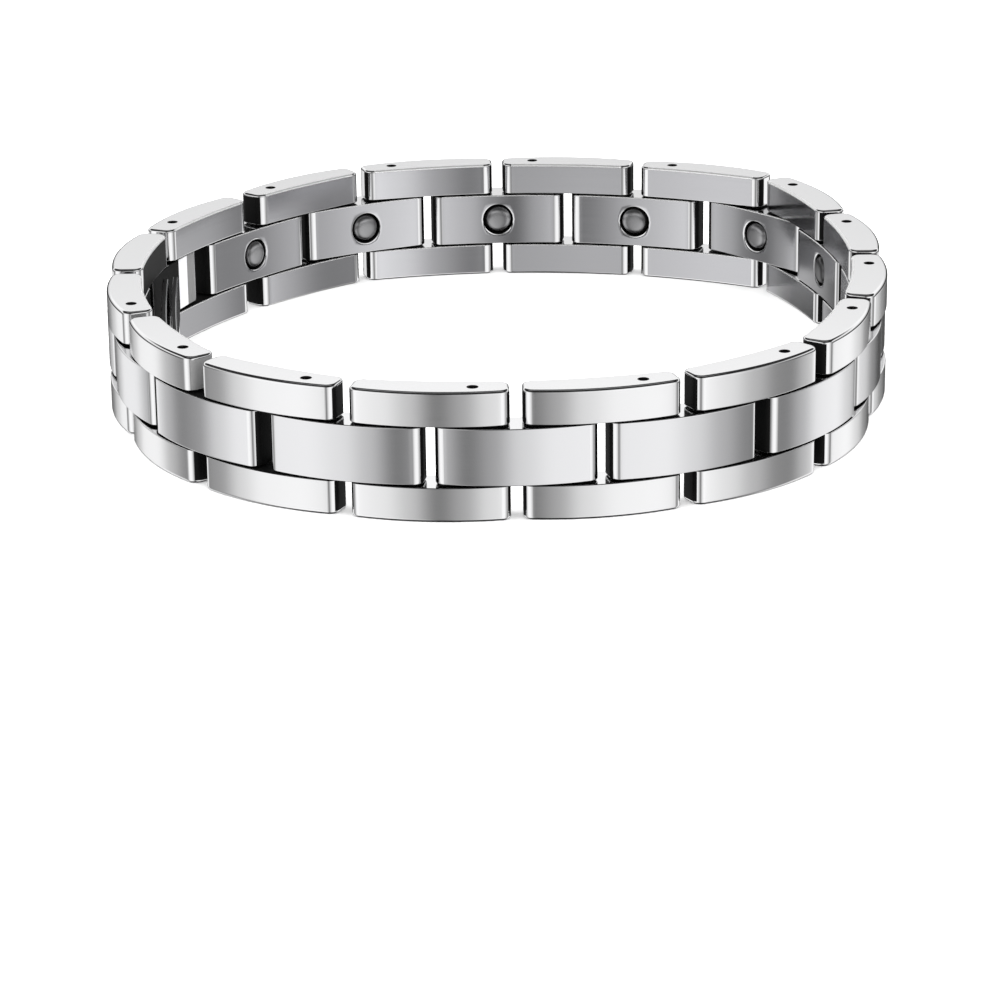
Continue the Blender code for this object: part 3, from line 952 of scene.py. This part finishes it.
# How strongly the cards show below the horizon, by elevation, and how far up they reach in front
CARDS_BELOW = ((-90, 0.0), (-62, 0.05), (-45, 1.0), (-12, 1.0), (-4, 0.0))
CARDS_IN_FRONT = ((-8, 1.0), (24, 1.0), (36, 0.03), (90, 0.01))
# The brightness behind the bracelet, by elevation
BEHIND = (
    (-2, 0.05), (7, 0.12), (11.5, 0.85), (14, 1.0), (16, 1.05), (18.5, 1.38), (24, 1.4), (32, 0.05),
    (58, 0.03), (66, 0.3), (90, 0.3),
)
# How strongly anything above the horizon shows, by elevation
HORIZON = ((-12, 0.0), (-4, 1.0))
# The brightness all round for everything but reflections
PLAIN_LIGHT = 2.4
print("brightest card", max(brightness for _, brightness in CARDS))

# %% Make nodes that calculate
world = bpy.data.worlds.new("tent")
bpy.context.scene.world = world
world.use_nodes = True
tent, join = world.node_tree.nodes, world.node_tree.links


def calculate(operation, *values):
    """A Math node of this operation on numbers or sockets."""
    node = tent.new("ShaderNodeMath")
    node.operation = operation
    for socket, value in zip(node.inputs, values):
        if isinstance(value, (int, float)):
            socket.default_value = value
        else:
            join.new(value, socket)
    return node.outputs[0]


def graded(value, table, whole):
    """A ramp over a table of (degrees, brightness); whole is the number of degrees from end to end.

    The ramp has half the brightness, which is doubled after it, so that its colours stay within 1.
    """
    node = tent.new("ShaderNodeValToRGB")
    node.color_ramp.interpolation = "EASE"
    stops = node.color_ramp.elements
    while len(stops) < len(table):
        stops.new(0.5)
    for stop, (degrees, brightness) in zip(stops, table):
        stop.position = degrees / whole + 0.5
        stop.color = (brightness / 2, brightness / 2, brightness / 2, 1)
    join.new(value, node.inputs["Fac"])
    return calculate("MULTIPLY", node.outputs["Color"], 2.0)


print("world", world.name)

# %% Light the tent
# How far a direction is in front: start + slope x y, held softly between 0 and 1
FRONT_SLOPE, FRONT_START, SOFTNESS = -2.0, 0.5, 0.1
way = tent.new("ShaderNodeTexCoord").outputs["Generated"]
parts = tent.new("ShaderNodeSeparateXYZ")
join.new(way, parts.inputs[0])
x, y, z = parts.outputs
turn = calculate("ADD", calculate("DIVIDE", calculate("ARCTAN2", y, x), 2 * math.pi), 0.5)
lift = calculate("ADD", calculate("DIVIDE", calculate("ARCSINE", z), math.pi), 0.5)
frontness = calculate("MULTIPLY_ADD", y, FRONT_SLOPE, FRONT_START)
at_least_none = calculate("SMOOTH_MAX", frontness, 0.0, SOFTNESS)
in_front = calculate("SMOOTH_MIN", at_least_none, 1.0, SOFTNESS)
is_below, is_above = graded(lift, CARDS_BELOW, 180), graded(lift, HORIZON, 180)
front_cards = calculate("MULTIPLY", graded(lift, CARDS_IN_FRONT, 180), in_front)
raised_cards = calculate("MULTIPLY", front_cards, is_above)
cards = calculate("MULTIPLY", graded(turn, CARDS, 360), calculate("ADD", is_below, raised_cards))
behind = calculate("MULTIPLY", graded(lift, BEHIND, 180), calculate("SUBTRACT", 1.0, in_front))
studio = calculate("ADD", cards, calculate("MULTIPLY", behind, is_above))
mirrored = tent.new("ShaderNodeLightPath").outputs["Is Glossy Ray"]
plain = calculate("MULTIPLY", calculate("SUBTRACT", 1.0, mirrored), PLAIN_LIGHT)
strength = calculate("ADD", calculate("MULTIPLY", studio, mirrored), plain)
join.new(strength, tent["Background"].inputs["Strength"])
tent["Background"].inputs["Color"].default_value = (1, 1, 1, 1)
bpy.context.scene.view_settings.view_transform = "Standard"
print("nodes in the tent", len(tent))

# %% [markdown]
# ## The camera
#
# A product shot is taken from far away with a long lens, so that the near links look hardly larger than the
# far ones. A camera could be aimed by a constraint. Its direction is worked out once here, from where it
# stands to where it looks, because a camera held by hand is also tilted a little.

# %% Set the camera
CAMERA_PLACE = Vector((-0.00003, -0.31899, 0.10317))
LOOKS_AT = Vector((-0.00003, -0.06187, 0.0109))
TILT = math.radians(-0.712)
LENS, SENSOR_WIDTH = 135.67, 36.0
camera_data = bpy.data.cameras.new("camera")
camera_data.sensor_width = SENSOR_WIDTH
camera_data.lens = LENS
camera_data.clip_start, camera_data.clip_end = 0.01, 10
camera = bpy.data.objects.new("camera", camera_data)
bpy.context.scene.collection.objects.link(camera)
aim = (LOOKS_AT - CAMERA_PLACE).to_track_quat("-Z", "Y").to_matrix().to_4x4()
camera.matrix_world = Matrix.Translation(CAMERA_PLACE) @ aim @ Matrix.Rotation(TILT, 4, "Z")
bpy.context.scene.camera = camera
print("camera", [round(value, 4) for value in CAMERA_PLACE])
